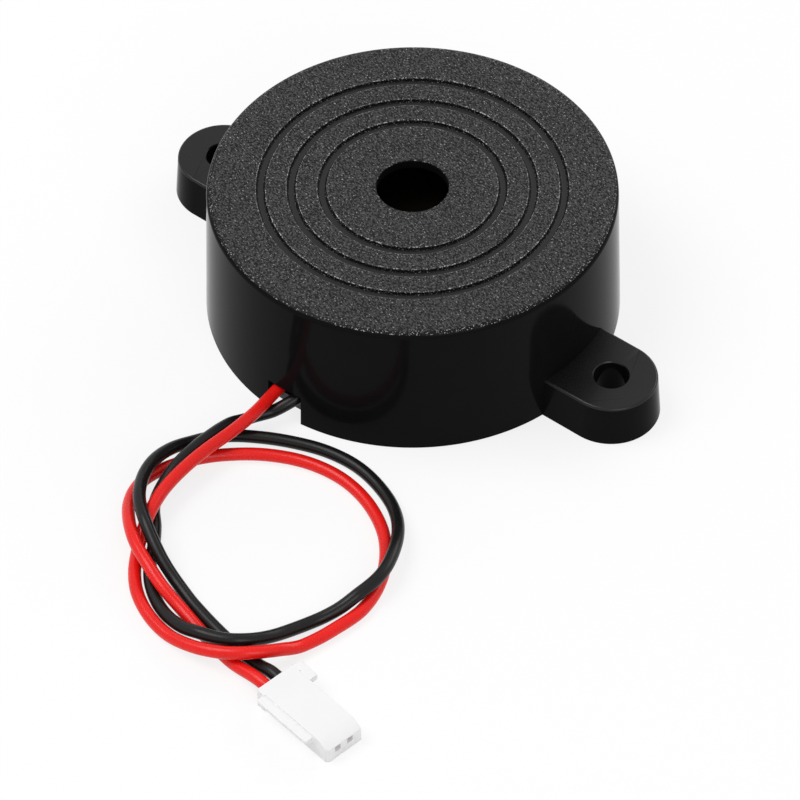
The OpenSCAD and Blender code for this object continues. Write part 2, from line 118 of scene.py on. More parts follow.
class Bench:
    """Blender's own modelling operators, with what they act on picked in code."""

    @staticmethod
    def clear() -> None:
        """Leaves edit mode and deselects every object."""
        if bpy.context.mode != "OBJECT":
            bpy.ops.object.mode_set(mode="OBJECT")
        bpy.ops.object.select_all(action="DESELECT")

    @staticmethod
    def only(piece: bpy.types.Object) -> None:
        """Selects one object and makes it active."""
        Bench.clear()
        piece.select_set(True)
        bpy.context.view_layer.objects.active = piece

    @staticmethod
    def named(name: str) -> bpy.types.Object:
        """Names the object that an operator has just added.

        Args:
            name: the piece's name.

        Returns:
            The object.
        """
        piece = bpy.context.active_object
        piece.name = name
        piece.data.name = name
        return piece

    @staticmethod
    def cylinder(name: str, r: float, low: float, high: float, x: float = 0, y: float = 0,
                 r_top: Optional[float] = None, sides: int = 96) -> bpy.types.Object:
        """Adds an upright cylinder or cone, in millimetres.

        Args:
            name: the piece's name.
            r: radius at its foot.
            low: height of its foot.
            high: height of its top.
            x: place of its axis along X.
            y: place of its axis along Y.
            r_top: radius at its top, or the same radius.
            sides: how many sides it has.

        Returns:
            The object.
        """
        Bench.clear()
        bpy.ops.mesh.primitive_cone_add(
            vertices=sides, radius1=r * MM, radius2=(r if r_top is None else r_top) * MM,
            depth=(high - low) * MM, location=(x * MM, y * MM, (low + high) / 2 * MM))
        piece = Bench.named(name)
        Bench.settle(piece)
        return piece

    @staticmethod
    def block(name: str, low: Sequence[float], high: Sequence[float]) -> bpy.types.Object:
        """Adds a box between two corners, in millimetres.

        Args:
            name: the piece's name.
            low: lowest corner.
            high: highest corner.

        Returns:
            The object.
        """
        Bench.clear()
        middle = [(a + b) / 2 * MM for a, b in zip(low, high)]
        bpy.ops.mesh.primitive_cube_add(size=1, location=middle)
        piece = Bench.named(name)
        piece.scale = [(b - a) * MM for a, b in zip(low, high)]
        Bench.settle(piece)
        return piece

    @staticmethod
    def settle(piece: bpy.types.Object) -> None:
        """Puts the object's place, turn and scale into its mesh."""
        Bench.only(piece)
        bpy.ops.object.transform_apply(location=True, rotation=True, scale=True)

    @staticmethod
    def cut(piece: bpy.types.Object, tool: bpy.types.Object, how: str) -> None:
        """Joins a tool to a piece or takes it away, and deletes the tool.

        Args:
            piece: what is changed.
            tool: the mesh that is joined or taken away.
            how: UNION or DIFFERENCE.
        """
        Bench.only(piece)
        step = piece.modifiers.new("shape", "BOOLEAN")
        step.operation = how
        step.solver = "MANIFOLD"
        step.object = tool
        bpy.ops.object.modifier_apply(modifier=step.name)
        bpy.data.objects.remove(tool, do_unlink=True)

    @staticmethod
    def join(pieces: Sequence[bpy.types.Object], name: str) -> bpy.types.Object:
        """Makes several objects one.

        Args:
            pieces: the objects.
            name: the joined object's name.

        Returns:
            The joined object.
        """
        Bench.clear()
        for piece in pieces:
            piece.select_set(True)
        bpy.context.view_layer.objects.active = pieces[0]
        bpy.ops.object.join()
        return Bench.named(name)

    @staticmethod
    def soften(piece: bpy.types.Object, width: float, steps: int = 2, angle: float = 35) -> None:
        """Rounds every edge that is sharper than an angle.

        Args:
            piece: the object.
            width: width of the rounding in millimetres.
            steps: how many faces it has.
            angle: the least angle, in degrees, of an edge that is rounded.
        """
        Bench.only(piece)
        step = piece.modifiers.new("edges", "BEVEL")
        step.width = width * MM
        step.segments = steps
        step.limit_method = "ANGLE"
        step.angle_limit = math.radians(angle)
        step.miter_outer = "MITER_ARC"
        step.use_clamp_overlap = True
        bpy.ops.object.modifier_apply(modifier=step.name)

    @staticmethod
    def smooth(piece: bpy.types.Object, angle: float = 30) -> None:
        """Shades the piece smooth, apart from edges sharper than an angle in degrees.

        Large faces keep their own normal, so that a flat face stays flat up to its rounded edge.
        """
        Bench.only(piece)
        bpy.ops.object.shade_smooth_by_angle(angle=math.radians(angle))
        step = piece.modifiers.new("normals", "WEIGHTED_NORMAL")
        step.keep_sharp = True
        bpy.ops.object.modifier_apply(modifier=step.name)


class Editing:
    """Edit mode on one object."""

    def __init__(self, piece: bpy.types.Object) -> None:
        """Keeps the object that is edited."""
        self.piece = piece

    def __enter__(self) -> "Editing":
        """Enters edit mode with nothing selected."""
        Bench.only(self.piece)
        bpy.ops.object.mode_set(mode="EDIT")
        bpy.ops.mesh.select_all(action="DESELECT")
        return self

    def __exit__(self, *_: object) -> None:
        """Goes back to object mode."""
        bpy.ops.object.mode_set(mode="OBJECT")

    def pick(self, kind: Pick, test: Callable[[Seen], bool]) -> int:
        """Selects what passes a test, and nothing else.

        Args:
            kind: faces, edges or points.
            test: says whether an item is picked.

        Returns:
            How many items are selected.
        """
        bpy.ops.mesh.select_mode(type=kind.value)
        bpy.ops.mesh.select_all(action="DESELECT")
        shape = bmesh.from_edit_mesh(self.piece.data)
        shape.normal_update()
        items = {Pick.FACES: shape.faces, Pick.EDGES: shape.edges, Pick.POINTS: shape.verts}[kind]
        count = 0
        for item in items:
            points = [item.co] if kind is Pick.POINTS else [v.co for v in item.verts]
            low = Vector([min(p[i] for p in points) / MM for i in range(3)])
            high = Vector([max(p[i] for p in points) / MM for i in range(3)])
            normal = Vector() if kind is Pick.EDGES else item.normal.copy()
            if test(Seen(low, high, normal)):
                item.select_set(True)
                count += 1
        shape.select_flush_mode()
        bmesh.update_edit_mesh(self.piece.data)
        return count

    def everything(self) -> None:
        """Selects the whole mesh."""
        bpy.ops.mesh.select_mode(type="VERT")
        bpy.ops.mesh.select_all(action="SELECT")

    def extrude(self, x: float = 0, y: float = 0, z: float = 0) -> None:
        """Extrudes the selection by a step in millimetres."""
        bpy.ops.mesh.extrude_region_move(TRANSFORM_OT_translate={"value": (x * MM, y * MM, z * MM)})

    def bevel(self, width: float, steps: int) -> None:
        """Rounds the selected edges to a width in millimetres."""
        bpy.ops.mesh.bevel(offset=width * MM, offset_type="OFFSET", segments=steps, affect="EDGES")

    def cut_at(self, point: Sequence[float], normal: Sequence[float]) -> None:
        """Cuts the mesh by a plane in millimetres, drops what lies behind it and closes the cut."""
        self.everything()
        bpy.ops.mesh.bisect(plane_co=[v * MM for v in point], plane_no=normal, use_fill=True,
                            clear_inner=True, threshold=1e-7)

    def part(self, point: Sequence[float], normal: Sequence[float]) -> None:
        """Draws new edges where a plane in millimetres meets the mesh, and takes nothing away."""
        self.everything()
        bpy.ops.mesh.bisect(plane_co=[v * MM for v in point], plane_no=normal, threshold=1e-7)

    def tidy(self) -> None:
        """Merges doubles and turns all normals outwards."""
        self.everything()
        bpy.ops.mesh.remove_doubles(threshold=2e-6)
        bpy.ops.mesh.normals_make_consistent(inside=False)


@dataclass(frozen=True)
class Corner:
    """A point of a turned profile: radius, height, and how round its corner is, in millimetres."""

    r: float
    z: float
    rounding: float = 0
    steps: int = 3


class Turning:
    """A piece turned on a lathe: a profile that is drawn point by point and spun."""

    def __init__(self, corners: Sequence[Corner], closed: bool = True) -> None:
        """Keeps the profile.

        Args:
            corners: its corners in order.
            closed: whether it closes on itself, or starts and ends on the axis.
        """
        self.corners = list(corners)
        self.closed = closed

    def outline(self) -> list[tuple[float, float]]:
        """The profile with its rounded corners, as radius and height.

        Returns:
            The points in order.
        """
        points: list[tuple[float, float]] = []
        count = len(self.corners)
        for i, here in enumerate(self.corners):
            at = Vector((here.r, here.z))
            inner = self.closed or 0 < i < count - 1
            if not here.rounding or not inner:
                points.append((at.x, at.y))
                continue
            before = self.corners[i - 1]
            after = self.corners[(i + 1) % count]
            back = (Vector((before.r, before.z)) - at).normalized()
            on = (Vector((after.r, after.z)) - at).normalized()
            half = back.angle(on) / 2
            reach = here.rounding / math.tan(half)
            centre = at + (back + on).normalized() * (here.rounding / math.sin(half))
            first, last = at + back * reach - centre, at + on * reach - centre
            start = math.atan2(first.y, first.x)
            sweep = (math.atan2(last.y, last.x) - start + math.pi) % (2 * math.pi) - math.pi
            for k in range(here.steps + 1):
                turn = start + sweep * k / here.steps
                points.append((centre.x + here.rounding * math.cos(turn),
                               centre.y + here.rounding * math.sin(turn)))
        return points

    def make(self, name: str, steps: int) -> bpy.types.Object:
        """Draws the profile by extruding one point, and spins it round Z.

        Args:
            name: the piece's name.
            steps: how many sides the turned piece has.

        Returns:
            The closed piece.
        """
        outline = self.outline()
        Bench.clear()
        bpy.ops.mesh.primitive_plane_add(size=MM, location=(outline[0][0] * MM, 0, outline[0][1] * MM))
        piece = Bench.named(name)
        Bench.settle(piece)
        with Editing(piece) as edit:
            edit.everything()
            bpy.ops.mesh.merge(type="CENTER")
            for (r0, z0), (r1, z1) in zip(outline, outline[1:]):
                bpy.ops.mesh.extrude_vertices_move(
                    TRANSFORM_OT_translate={"value": ((r1 - r0) * MM, 0, (z1 - z0) * MM)})
            if self.closed:
                edit.everything()
                ends = {0, len(outline) - 1}
                shape = bmesh.from_edit_mesh(piece.data)
                shape.verts.ensure_lookup_table()
                for vert in shape.verts:
                    vert.select_set(vert.index in ends)
                shape.select_flush_mode()
                bmesh.update_edit_mesh(piece.data)
                bpy.ops.mesh.edge_face_add()
            edit.everything()
            bpy.ops.mesh.spin(steps=steps, angle=2 * math.pi, center=(0, 0, 0), axis=(0, 0, 1))
            edit.tidy()
        return piece


class Value:
    """One number of a material, with arithmetic that adds the nodes for it."""

    def __init__(self, sheet: "NodeSheet", socket: bpy.types.NodeSocket) -> None:
        """Keeps the socket and the sheet that it is on."""
        self.sheet = sheet
        self.socket = socket

    def __add__(self, other: "Value | Number") -> "Value":
        """Sum."""
        return self.sheet.maths("ADD", self, other)

    __radd__ = __add__

    def __sub__(self, other: "Value | Number") -> "Value":
        """Difference."""
        return self.sheet.maths("SUBTRACT", self, other)

    def __rsub__(self, other: Number) -> "Value":
        """Difference from a number."""
        return self.sheet.maths("SUBTRACT", other, self)

    def __mul__(self, other: "Value | Number") -> "Value":
        """Product."""
        return self.sheet.maths("MULTIPLY", self, other)

    __rmul__ = __mul__

    def __truediv__(self, other: "Value | Number") -> "Value":
        """Quotient."""
        return self.sheet.maths("DIVIDE", self, other)

    def __pow__(self, other: "Value | Number") -> "Value":
        """Power."""
        return self.sheet.maths("POWER", self, other)

    def over(self, low: float, high: float) -> "Value":
        """Goes smoothly from 0 at low to 1 at high."""
        return self.sheet.value("ShaderNodeMapRange", "Result", {"interpolation_type": "SMOOTHSTEP"},
                                {"Value": self, "From Min": low, "From Max": high})

    def at_most(self, other: "Value | Number") -> "Value":
        """The smaller of the two."""
        return self.sheet.maths("MINIMUM", self, other)

    def at_least(self, other: "Value | Number") -> "Value":
        """The larger of the two."""
        return self.sheet.maths("MAXIMUM", self, other)


Input = Union[Value, bpy.types.NodeSocket, Number, Sequence[float]]


class NodeSheet:
    """A material and the nodes on it."""

    def __init__(self, name: str) -> None:
        """Adds an empty material with its shader and output."""
        self.material = bpy.data.materials.new(name)
        self.material.use_nodes = True
        self.tree = self.material.node_tree
        self.tree.nodes.clear()
        self.shader = self.node("ShaderNodeBsdfPrincipled")
        self.output = self.node("ShaderNodeOutputMaterial")
        self.tree.links.new(self.shader.outputs["BSDF"], self.output.inputs["Surface"])
        place = self.node("ShaderNodeTexCoord")
        self.place = place.outputs["Object"]
        self.uv = place.outputs["UV"]

    def node(self, kind: str, settings: Optional[dict[str, object]] = None,
             inputs: Optional[dict[str, Input]] = None) -> bpy.types.Node:
        """Adds a node, sets it up and feeds it.

        Args:
            kind: the node's type.
            settings: its own settings, set first.
            inputs: values or links by socket name.

        Returns:
            The node.
        """
        node = self.tree.nodes.new(kind)
        for key, value in (settings or {}).items():
            setattr(node, key, value)
        for key, value in (inputs or {}).items():
            socket = next(s for s in node.inputs if s.name == key and s.enabled)
            self.feed(socket, value)
        return node

    def feed(self, socket: bpy.types.NodeSocket, value: Input) -> None:
        """Links a socket to a value, or sets it to a number."""
        if isinstance(value, Value):
            self.tree.links.new(value.socket, socket)
        elif isinstance(value, bpy.types.NodeSocket):
            self.tree.links.new(value, socket)
        else:
            socket.default_value = value

    def value(self, kind: str, output: str, settings: Optional[dict[str, object]] = None,
              inputs: Optional[dict[str, Input]] = None) -> Value:
        """Adds a node and gives one of its outputs as a number."""
        node = self.node(kind, settings, inputs)
        return Value(self, next(s for s in node.outputs if s.name == output and s.enabled))

    def maths(self, how: str, a: Input, b: Input) -> Value:
        """Adds one Math node.

        Args:
            how: its operation.
            a: first number.
            b: second number.

        Returns:
            The result.
        """
        node = self.node("ShaderNodeMath", {"operation": how})
        self.feed(node.inputs[0], a)
        self.feed(node.inputs[1], b)
        return Value(self, node.outputs[0])

    def noise(self, size: float, detail: float = 2, rough: float = 0.5, at: Optional[Input] = None) -> Value:
        """Soft noise with features of a size in millimetres."""
        return self.value("ShaderNodeTexNoise", "Fac", None, {
            "Vector": at if at is not None else self.place, "Scale": 1 / (size * MM),
            "Detail": detail, "Roughness": rough})

    def cells(self, size: float, output: str = "Distance", at: Optional[Input] = None) -> Value:
        """A pattern of grains of a size in millimetres: their distance, or a colour each."""
        return self.value("ShaderNodeTexVoronoi", output, None, {
            "Vector": at if at is not None else self.place, "Scale": 1 / (size * MM)})

    def laid(self, lean: float, drawn: float, away: float = 0) -> bpy.types.NodeSocket:
        """The place on the piece for a pattern that is drawn out in one direction.

        Args:
            lean: that direction, in degrees from X.
            drawn: how much longer than wide the pattern is.
            away: how far the pattern is moved, in millimetres.

        Returns:
            The place's socket.
        """
        return self.node("ShaderNodeMapping", {"vector_type": "TEXTURE"}, {
            "Vector": self.place, "Location": (away * MM, 0, 0),
            "Rotation": (0, 0, math.radians(lean)), "Scale": (drawn, 1, 1)}).outputs["Vector"]

    def axis(self, name: str, source: Optional[bpy.types.NodeSocket] = None) -> Value:
        """One coordinate of the place on the piece, in millimetres, or of another vector."""
        split = self.node("ShaderNodeSeparateXYZ", None, {"Vector": source or self.place})
        return Value(self, split.outputs[name]) * (1 if source else 1 / MM)

    def blend(self, share: Input, a: Input, b: Input) -> bpy.types.NodeSocket:
        """Mixes two colours.

        Args:
            share: how much of b.
            a: first colour.
            b: second colour.

        Returns:
            The mixed colour's socket.
        """
        def full(c: Input) -> Input:
            return (*c, 1.0) if isinstance(c, tuple) and len(c) == 3 else c
        node = self.node("ShaderNodeMix", {"data_type": "RGBA"}, {
            "Factor": share, "A": full(a), "B": full(b)})
        return next(s for s in node.outputs if s.name == "Result" and s.enabled)

    def shape(self, height: Value, depth: float, strength: float = 1,
              under: Optional[bpy.types.NodeSocket] = None) -> bpy.types.NodeSocket:
        """A bump of a depth in millimetres.

        Args:
            height: the pattern from 0 to 1.
            depth: how deep it is at 1.
            strength: how much of it shows.
            under: another bump that it lies on.

        Returns:
            The normal's socket.
        """
        inputs: dict[str, Input] = {"Height": height, "Distance": depth * MM, "Strength": strength}
        if under is not None:
            inputs["Normal"] = under
        return self.node("ShaderNodeBump", None, inputs).outputs["Normal"]

    def finish(self, colour: Input, roughness: Input, normal: Optional[bpy.types.NodeSocket] = None,
               metal: float = 0, gloss: float = 0.5, **more: float) -> bpy.types.Material:
        """Feeds the shader.

        Args:
            colour: base colour.
            roughness: its roughness.
            normal: a bump's normal.
            metal: 1 on bare metal.
            gloss: the specular level, the same all over.
            more: other constants by socket name, with spaces as underscores.

        Returns:
            The material.
        """
        flat = (*colour, 1.0) if isinstance(colour, tuple) and len(colour) == 3 else colour
        self.feed(self.shader.inputs["Base Color"], flat)
        self.feed(self.shader.inputs["Roughness"], roughness)
        self.shader.inputs["Metallic"].default_value = metal
        self.shader.inputs["Specular IOR Level"].default_value = gloss
        for key, value in more.items():
            self.shader.inputs[key.replace("_", " ")].default_value = value
        if normal is not None:
            self.tree.links.new(normal, self.shader.inputs["Normal"])
        return self.material


@dataclass(frozen=True)
class GrainedPlastic:
    """Black moulding with a fine grain eroded by electric discharge, as on the front face, and painted light in
    its colour.

    Attributes:
        name: the material's name.
        pit: colour of the low places, darker as painted shade.
        crest: colour of the high places, paler as painted light.
        painted_glint: colour of the few bright flecks, which are painted glints.
        rare: how rare the painted glints are, from 0 to 1.
        grain: size of a grain in millimetres.
        lean: direction in degrees in which the grains are drawn out.
        drawn: how much longer than wide they are.
        depth: depth of the grain in millimetres.
        roughness: mean roughness.
        gloss: specular level.
    """

    name: str
    pit: Colour = (0.0015, 0.0015, 0.0016)
    crest: Colour = (0.052, 0.052, 0.054)
    painted_glint: Colour = (0.33, 0.33, 0.336)
    rare: float = 0.64
    grain: float = 0.17
    lean: float = -15
    drawn: float = 1.6
    depth: float = 0.03
    roughness: float = 0.42
    gloss: float = 0.15

    def material(self) -> bpy.types.Material:
        """Builds the material."""
        sheet = NodeSheet(self.name)
        place = sheet.laid(self.lean, self.drawn)
        coarse = sheet.noise(self.grain, 1, 0.5, place)
        fine = sheet.noise(self.grain * 0.55, 2, 0.6)
        glint_mask = sheet.noise(self.grain * 0.85, 1, 0.5, sheet.laid(self.lean, self.drawn, 7))
        broad = sheet.noise(3, 2)
        height = coarse * 0.6 + fine * 0.4
        # The colour follows the bump's height, pale on the crests and dark in the pits: painted light and shade
        # on the grain.
        crests = height.over(0.44, 0.57) + (broad - 0.5) * 0.12
        colour = sheet.blend(crests, self.pit, self.crest)
        # Rare bright flecks in the colour are painted glints.
        colour = sheet.blend(glint_mask.over(self.rare, self.rare + 0.1), colour, self.painted_glint)
        rough = self.roughness + (fine - 0.5) * 0.3
        return sheet.finish(colour, rough, sheet.shape(height, self.depth), gloss=self.gloss)


@dataclass(frozen=True)
class MouldedPlastic:
    """Smooth moulded plastic with a little waviness and handling marks."""

    name: str
    colour: Colour
    roughness: float = 0.2
    gloss: float = 0.5
    wave: float = 0.002
    mottle: float = 0.06

    def material(self) -> bpy.types.Material:
        """Builds the material."""
        sheet = NodeSheet(self.name)
        broad = sheet.noise(3.5, 2)
        fine = sheet.noise(0.25, 2)
        marks = sheet.noise(0.9, 4, 0.7).over(0.62, 0.75)
        paler = tuple(min(1.0, c * (1 + 4 * self.mottle)) for c in self.colour)
        colour = sheet.blend(broad, self.colour, paler)
        rough = self.roughness + (broad - 0.5) * 0.06 + (fine - 0.5) * 0.05 + marks * 0.05
        normal = sheet.shape(broad * 2 + fine * 0.25, self.wave)
        return sheet.finish(colour, rough, normal, gloss=self.gloss)


@dataclass(frozen=True)
class Insulation:
    """Soft wire insulation, extruded, with a cloudy tone and rubbed places."""

    name: str
    colour: Colour
    roughness: float = 0.34
    gloss: float = 0.5

    def material(self) -> bpy.types.Material:
        """Builds the material."""
        sheet = NodeSheet(self.name)
        cloud = sheet.noise(2.2, 3)
        grain = sheet.noise(0.16, 2)
        rub = sheet.noise(0.7, 3, 0.65).over(0.58, 0.72)
        darker = tuple(c * 0.86 for c in self.colour)
        colour = sheet.blend(cloud, self.colour, darker)
        rough = self.roughness + (grain - 0.5) * 0.12 + rub * 0.1
        return sheet.finish(colour, rough, sheet.shape(grain + cloud * 2, 0.004), gloss=self.gloss)


@dataclass(frozen=True)
class Metal:
    """Bare or coated metal with fine marks in one direction."""

    name: str
    colour: Colour
    roughness: float = 0.3
    stretch: tuple[float, float, float] = (1, 1, 1)
    tarnish: Colour = (0.3, 0.25, 0.2)
    worn: float = 0.25

    def material(self) -> bpy.types.Material:
        """Builds the material."""
        sheet = NodeSheet(self.name)
        turned = sheet.node("ShaderNodeMapping", {"vector_type": "POINT"},
                            {"Vector": sheet.place, "Scale": self.stretch}).outputs["Vector"]
        lines = sheet.noise(0.12, 3, 0.6, turned)
        cloud = sheet.noise(1.6, 4, 0.6)
        colour = sheet.blend(cloud.over(0.45, 0.8) * self.worn, self.colour, self.tarnish)
        rough = self.roughness + (lines - 0.5) * 0.2 + (cloud - 0.5) * 0.15
        return sheet.finish(colour, rough, sheet.shape(lines, 0.003), metal=1)


@dataclass(frozen=True)
class Fired:
    """Sintered ceramic or ferrite: matt, with pores."""

    name: str
    colour: Colour
    roughness: float = 0.75

    def material(self) -> bpy.types.Material:
        """Builds the material."""
        sheet = NodeSheet(self.name)
        pores = sheet.cells(0.12)
        cloud = sheet.noise(1.5, 3)
        darker = tuple(c * 0.72 for c in self.colour)
        colour = sheet.blend(cloud * 0.7 + pores * 0.4, self.colour, darker)
        return sheet.finish(colour, self.roughness + (cloud - 0.5) * 0.2, sheet.shape(pores, 0.006))


@dataclass(frozen=True)
class Laminate:
    """Circuit board: coated glass cloth with its weave showing through."""

    name: str
    colour: Colour
    weave: float = 0.5

    def material(self) -> bpy.types.Material:
        """Builds the material."""
        sheet = NodeSheet(self.name)
        across = sheet.maths("SINE", sheet.axis("X") * (math.tau / self.weave), 0)
        along = sheet.maths("SINE", sheet.axis("Y") * (math.tau / self.weave), 0)
        cloth = across * along * 0.5 + 0.5
        cloud = sheet.noise(4, 3)
        pale = tuple(min(1.0, c * 1.5 + 0.02) for c in self.colour)
        colour = sheet.blend(cloth * 0.35 + cloud * 0.3, self.colour, pale)
        return sheet.finish(colour, 0.35 + cloud * 0.15, sheet.shape(cloth, 0.004))


@dataclass(frozen=True)
class Winding:
    """Enamelled wire laid turn on turn, with painted shade between the turns."""

    name: str
    colour: Colour
    wire: float = 0.14

    def material(self) -> bpy.types.Material:
        """Builds the material."""
        sheet = NodeSheet(self.name)
        turns = sheet.maths("SINE", sheet.axis("Z") * (math.tau / self.wire), 0) * 0.5 + 0.5
        cloud = sheet.noise(0.9, 3)
        darker = tuple(c * 0.45 for c in self.colour)
        # The valleys between turns, low in the bump, are darker: painted shade between the turns.
        colour = sheet.blend(turns * 0.8 + (cloud - 0.5) * 0.4, darker, self.colour)
        return sheet.finish(colour, 0.3 + cloud * 0.15, sheet.shape(turns, 0.03), metal=0.6)


@dataclass(frozen=True)
class Bonding:
    """Cured adhesive or solder: rounded lumps and a soft sheen."""

    name: str
    colour: Colour
    roughness: float
    metal: float = 0

    def material(self) -> bpy.types.Material:
        """Builds the material."""
        sheet = NodeSheet(self.name)
        lumps = sheet.noise(0.8, 2)
        fine = sheet.noise(0.15, 3)
        darker = tuple(c * 0.8 for c in self.colour)
        colour = sheet.blend(lumps, self.colour, darker)
        return sheet.finish(colour, self.roughness + (fine - 0.5) * 0.15,
                            sheet.shape(lumps + fine * 0.2, 0.05), metal=self.metal)


TOP_BLACK = GrainedPlastic("grained_black")
# Rounded top edges: a darker grain as painted shade, with bright flecks as painted glints.
EDGE_PAINTED_LIGHT = GrainedPlastic("edge_painted_shade_and_glints", crest=(0.009, 0.009, 0.0095), painted_glint=(0.36, 0.36, 0.37), rare=0.6,
                            grain=0.16, drawn=1.2, gloss=0.1)
# Groove lips: a paler grain with more bright flecks, a painted highlight on the rounded lips.
LIP_PAINTED_HIGHLIGHT = GrainedPlastic("lip_painted_highlight", crest=(0.07, 0.07, 0.073), painted_glint=(0.42, 0.42, 0.43), rare=0.55,
                           grain=0.16, drawn=1.2)
SIDE_BLACK = MouldedPlastic("glossy_black", (0.005, 0.005, 0.0053), 0.11, 0.022, 0.0015)
EAR_BLACK = MouldedPlastic("satin_black", (0.006, 0.006, 0.0064), 0.27, 0.25, 0.002)
GROOVE_BLACK = MouldedPlastic("groove_black", (0.007, 0.007, 0.0074), 0.3, 0.27, 0.001)
# Groove walls and foot fillets: a darker grain, painted shade in the grooves, with a few faint flecks as painted
# glints.
WALL_PAINTED_SHADE = GrainedPlastic("groove_wall_painted_shade", crest=(0.01, 0.01, 0.0105), painted_glint=(0.17, 0.17, 0.175),
                            rare=0.62, grain=0.16, drawn=1.2, gloss=0.07)
# The inside is a darker black than the outside of the same moulding: painted shade inside the body and the sound
# hole.
INSIDE_PAINTED_SHADE = MouldedPlastic("inside_painted_shade", (0.003, 0.003, 0.0032), 0.45, 0.1, 0.004)
COVER_BLACK = MouldedPlastic("cover_black", (0.010, 0.010, 0.0105), 0.35, 0.3, 0.003)
NYLON = MouldedPlastic("natural_nylon", (0.83, 0.82, 0.825), 0.42, 0.35, 0.003, 0.012)
RED_PVC = Insulation("red_insulation", (0.84, 0.011, 0.008), 0.27, 0.28)
BLACK_PVC = Insulation("black_insulation", (0.009, 0.0085, 0.0085), 0.28, 0.2)
BLUE_PVC = Insulation("blue_insulation", (0.02, 0.08, 0.5), 0.35)


@dataclass
class Housing:
    """The black moulding: turned body, screw ears and lead notch. It stands for the CAD housing."""

    base_r: float = 21
    height: float = 15.6
    draft: float = 0.5
    rim: float = 0.7
    inner_r: float = 19.1
    seat_r: float = 19.5
    ledge_z: float = 1.2
    ceiling_z: float = 14.1
    hole_r: float = 3.6
    land: float = 1.0
    grooves: tuple[float, ...] = (15.1, 12.05, 9.0)
    groove_w: float = 0.86
    groove_depth: float = 0.4
    ring_in: float = 14.4
    recess_r: float = 15.65
    ring_out: float = 16.55
    seat_z: float = 9.9
    ring_z: float = 9.3
    board_top: float = 4.8
    ear_x: float = 25
    ear_r: float = 5
    ear_draft: float = 0.35
    ear_h: float = 4.7
    ear_edge: float = 0.25
    screw_r: float = 1.75
    notch: tuple[float, float, float] = (-1.75, 2.35, 3.75)
    groove_edge: float = 0.2
    groove_slant: float = 0.07
    groove_foot: float = 0.13
    grain_z: float = 15.42
    sides: int = 240

    def wall_r(self, z: float) -> float:
        """Radius of the side wall at a height."""
        return self.base_r - self.draft * z / (self.height - self.rim)

    def corners(self) -> list[Corner]:
        """The body's profile, from the base's inner edge round the outside and back inside.

        Returns:
            Its corners in order.
        """
        top = self.height
        floor = top - self.groove_depth
        out = [Corner(self.seat_r, 0, 0.08), Corner(self.base_r, 0, 0.1)]
        out += [Corner(self.wall_r(z), z) for z in (2.4, 5.1, 10.2)]
        out.append(Corner(self.wall_r(top), top, self.rim, 12))
        for middle in self.grooves:
            outer, inner = middle + self.groove_w / 2, middle - self.groove_w / 2
            edge, slant = self.groove_edge, self.groove_slant
            out += [Corner(outer, top, edge, 5), Corner(outer - slant, floor, self.groove_foot),
                    Corner(inner + slant, floor, self.groove_foot), Corner(inner, top, edge, 5)]
        mouth = self.hole_r + top - self.land - self.ceiling_z
        out += [Corner(self.hole_r, top, 0.1), Corner(self.hole_r, top - self.land, 0.02),
                Corner(mouth, self.ceiling_z, 0.05), Corner(self.ring_in, self.ceiling_z, 0.2),
                Corner(self.ring_in, self.seat_z, 0.05), Corner(self.recess_r, self.seat_z, 0.03),
                Corner(self.recess_r, self.ring_z, 0.05), Corner(self.ring_out, self.ring_z, 0.1),
                Corner(self.ring_out, self.ceiling_z, 0.2), Corner(self.inner_r, self.ceiling_z, 0.3),
                Corner(self.inner_r, self.ledge_z, 0.03), Corner(self.seat_r, self.ledge_z, 0.03)]
        return out

    def ear(self, side: Side) -> bpy.types.Object:
        """One screw ear: a drafted round end, cut in half and drawn out into the wall.

        Args:
            side: which way it points.

        Returns:
            The closed ear without its hole.
        """
        way = side.value
        piece = Bench.cylinder(f"ear_{side.name.lower()}", self.ear_r, 0, self.ear_h, way * self.ear_x,
                               r_top=self.ear_r - self.ear_draft, sides=128)
        root = self.base_r - 0.9
        with Editing(piece) as edit:
            edit.cut_at((way * self.ear_x, 0, 0), (way, 0, 0))
            edit.pick(Pick.FACES, lambda f: f.normal.x * way < -0.99)
            edit.extrude(x=way * (root - self.ear_x))
            edit.pick(Pick.EDGES, lambda e: e.flat_at(self.ear_h) and e.middle.x * way > root + 0.01)
            edit.bevel(self.ear_edge, 5)
            edit.pick(Pick.EDGES, lambda e: e.flat_at(0) and e.middle.x * way > root + 0.01)
            edit.bevel(0.08, 2)
            edit.tidy()
            edit.part((way * self.ear_x, 0, 0), (1, 0, 0))
            edit.part((0, 0, 0), (0, 1, 0))
        return piece

    def screw_hole(self, side: Side) -> bpy.types.Object:
        """The cutter for a screw hole, with its mouths widened a little."""
        x = side.value * self.ear_x
        piece = Bench.cylinder("screw_hole", self.screw_r, -0.5, self.ear_h + 0.5, x, sides=96)
        with Editing(piece) as edit:
            for z, out in ((0.1, -1), (self.ear_h - 0.1, 1)):
                edit.everything()
                bpy.ops.mesh.bisect(plane_co=(0, 0, z * MM), plane_no=(0, 0, 1))
                edit.pick(Pick.POINTS, lambda p: (p.middle.z - z) * out > 0.01)
                scale = (self.screw_r + 0.1 + 0.5) / self.screw_r
                bpy.ops.transform.resize(value=(scale, scale, 1), center_override=(x * MM, 0, 0))
        return piece

    def ribs(self) -> bpy.types.Object:
        """The ribs between seat ring and wall, four of which stand on the board.

        Returns:
            Each of them as its own object, in a list.
        """
        parts = []
        for i in range(8):
            low = (self.ring_out - 0.2, -0.5, self.ring_z + 0.05)
            rib = Bench.block("rib", low, (self.inner_r + 0.2, 0.5, self.ceiling_z + 0.3))
            parts.append(rib)
            rib.rotation_euler.z = math.radians(i * 45)
            Bench.settle(rib)
        for i in range(4):
            low = (self.inner_r - 1.7, -0.48, self.board_top)
            rib = Bench.block("rib", low, (self.inner_r + 0.25, 0.48, self.ring_z + 1))
            parts.append(rib)
            rib.rotation_euler.z = math.radians(45 + i * 90)
            Bench.settle(rib)
        return parts

